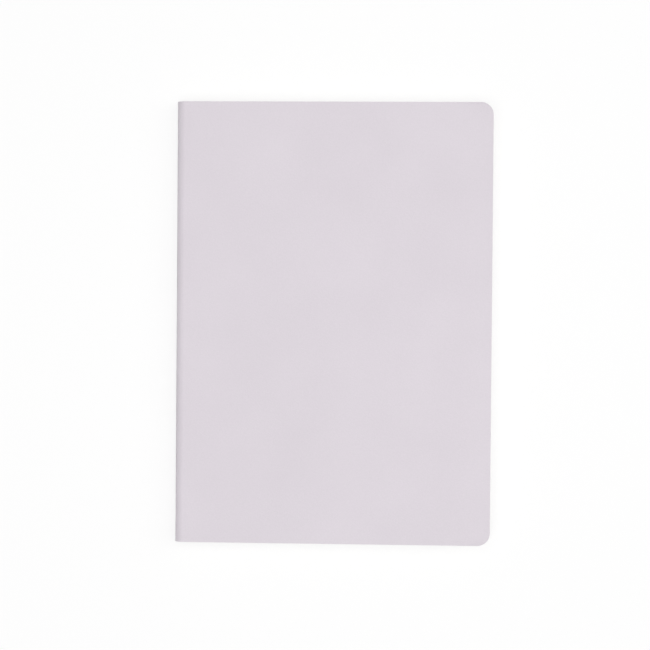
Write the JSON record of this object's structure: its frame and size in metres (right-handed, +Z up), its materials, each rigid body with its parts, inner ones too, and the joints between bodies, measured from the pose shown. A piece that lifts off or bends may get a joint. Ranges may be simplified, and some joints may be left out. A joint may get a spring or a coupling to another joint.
{
  "type": "notebook",
  "caption": "Closed softcover notebook with a sewn block of pages, a rounded spine edge and round fore-edge corners; the cover and the middle both open flat.",
  "frame": {"origin": "middle of the footprint, on the surface that the notebook lies on", "axes": "+Y along the spine towards the head, +X from the spine to the fore-edge, +Z up through the front cover"},
  "size_m": [0.15, 0.21, 0.0112],
  "materials": {
    "cover": "lilac-grey matte coated fibre sheet, fine even grain, no print",
    "endpaper": "pale grey uncoated paper, matte",
    "page": "off-white uncoated writing paper, matte",
    "thread": "off-white twisted sewing thread",
    "glue": "dried cream-coloured bookbinding adhesive",
    "gauze": "off-white open cotton gauze"
  },
  "bodies": {
    "back_half": {"back_cover": "cover", "spine_cover_back": "cover", "back_pastedown": "endpaper", "back_flyleaf": "endpaper", "back_endpaper_fold": "endpaper", "section_5_back_half": "page", "section_6": "page", "section_7": "page", "section_8": "page", "section_9": "page", "thread_1_back_half": "thread", "thread_2_back_half": "thread", "thread_3_back_half": "thread", "thread_4_back_half": "thread", "glue_back_half": "glue", "gauze_back_half": "gauze"},
    "front_half": {"spine_cover_front": "cover", "front_endpaper_fold": "endpaper", "section_1": "page", "section_2": "page", "section_3": "page", "section_4": "page", "section_5_front_half": "page", "thread_1_front_half": "thread", "thread_2_front_half": "thread", "thread_3_front_half": "thread", "thread_4_front_half": "thread", "glue_front_half": "glue", "gauze_front_half": "gauze"},
    "front_cover": {"front_cover": "cover", "front_pastedown": "endpaper"},
    "front_flyleaf": {"front_flyleaf": "endpaper"},
    "leaf_01": {"leaf_01": "page"},
    "leaf_02": {"leaf_02": "page"},
    "leaf_03": {"leaf_03": "page"},
    "leaf_35": {"leaf_35": "page"},
    "leaf_36": {"leaf_36": "page"},
    "leaf_37": {"leaf_37": "page"},
    "leaf_38": {"leaf_38": "page"}
  },
  "joints": [
    {"name": "middle_opening", "type": "hinge", "parent": "back_half", "child": "front_half", "pos_m": [-0.07505, 0, 0.0056], "axis": [0, -1, 0], "range_deg": [0, 180]},
    {"name": "front_cover_hinge", "type": "hinge", "parent": "front_half", "child": "front_cover", "pos_m": [-0.069, 0, 0.01122], "axis": [0, -1, 0], "range_deg": [0, 180]},
    {"name": "front_flyleaf_turn", "type": "hinge", "parent": "front_half", "child": "front_flyleaf", "pos_m": [-0.069, 0, 0.01122], "axis": [0, -1, 0], "range_deg": [0, 144]},
    {"name": "leaf_01_turn", "type": "hinge", "parent": "front_half", "child": "leaf_01", "pos_m": [-0.069, 0, 0.01122], "axis": [0, -1, 0], "range_deg": [0, 108]},
    {"name": "leaf_02_turn", "type": "hinge", "parent": "front_half", "child": "leaf_02", "pos_m": [-0.069, 0, 0.01122], "axis": [0, -1, 0], "range_deg": [0, 75.6]},
    {"name": "leaf_03_turn", "type": "hinge", "parent": "front_half", "child": "leaf_03", "pos_m": [-0.069, 0, 0.01122], "axis": [0, -1, 0], "range_deg": [0, 43.2]},
    {"name": "leaf_35_turn", "type": "hinge", "parent": "front_half", "child": "leaf_35", "pos_m": [-0.07505, 0, 0.0056], "axis": [0, -1, 0], "range_deg": [-10.8, 0]},
    {"name": "leaf_36_turn", "type": "hinge", "parent": "front_half", "child": "leaf_36", "pos_m": [-0.07505, 0, 0.0056], "axis": [0, -1, 0], "range_deg": [-25.2, 0]},
    {"name": "leaf_37_turn", "type": "hinge", "parent": "back_half", "child": "leaf_37", "pos_m": [-0.07505, 0, 0.0056], "axis": [0, -1, 0], "range_deg": [0, 25.2]},
    {"name": "leaf_38_turn", "type": "hinge", "parent": "back_half", "child": "leaf_38", "pos_m": [-0.07505, 0, 0.0056], "axis": [0, -1, 0], "range_deg": [0, 10.8]}
  ],
  "couplings": [
    {"joint": "front_flyleaf_turn", "follows": "front_cover_hinge", "ratio": 0.8},
    {"joint": "leaf_01_turn", "follows": "front_cover_hinge", "ratio": 0.6},
    {"joint": "leaf_02_turn", "follows": "front_cover_hinge", "ratio": 0.42},
    {"joint": "leaf_03_turn", "follows": "front_cover_hinge", "ratio": 0.24},
    {"joint": "leaf_35_turn", "follows": "middle_opening", "ratio": -0.06},
    {"joint": "leaf_36_turn", "follows": "middle_opening", "ratio": -0.14},
    {"joint": "leaf_37_turn", "follows": "middle_opening", "ratio": 0.14},
    {"joint": "leaf_38_turn", "follows": "middle_opening", "ratio": 0.06}
  ]
}
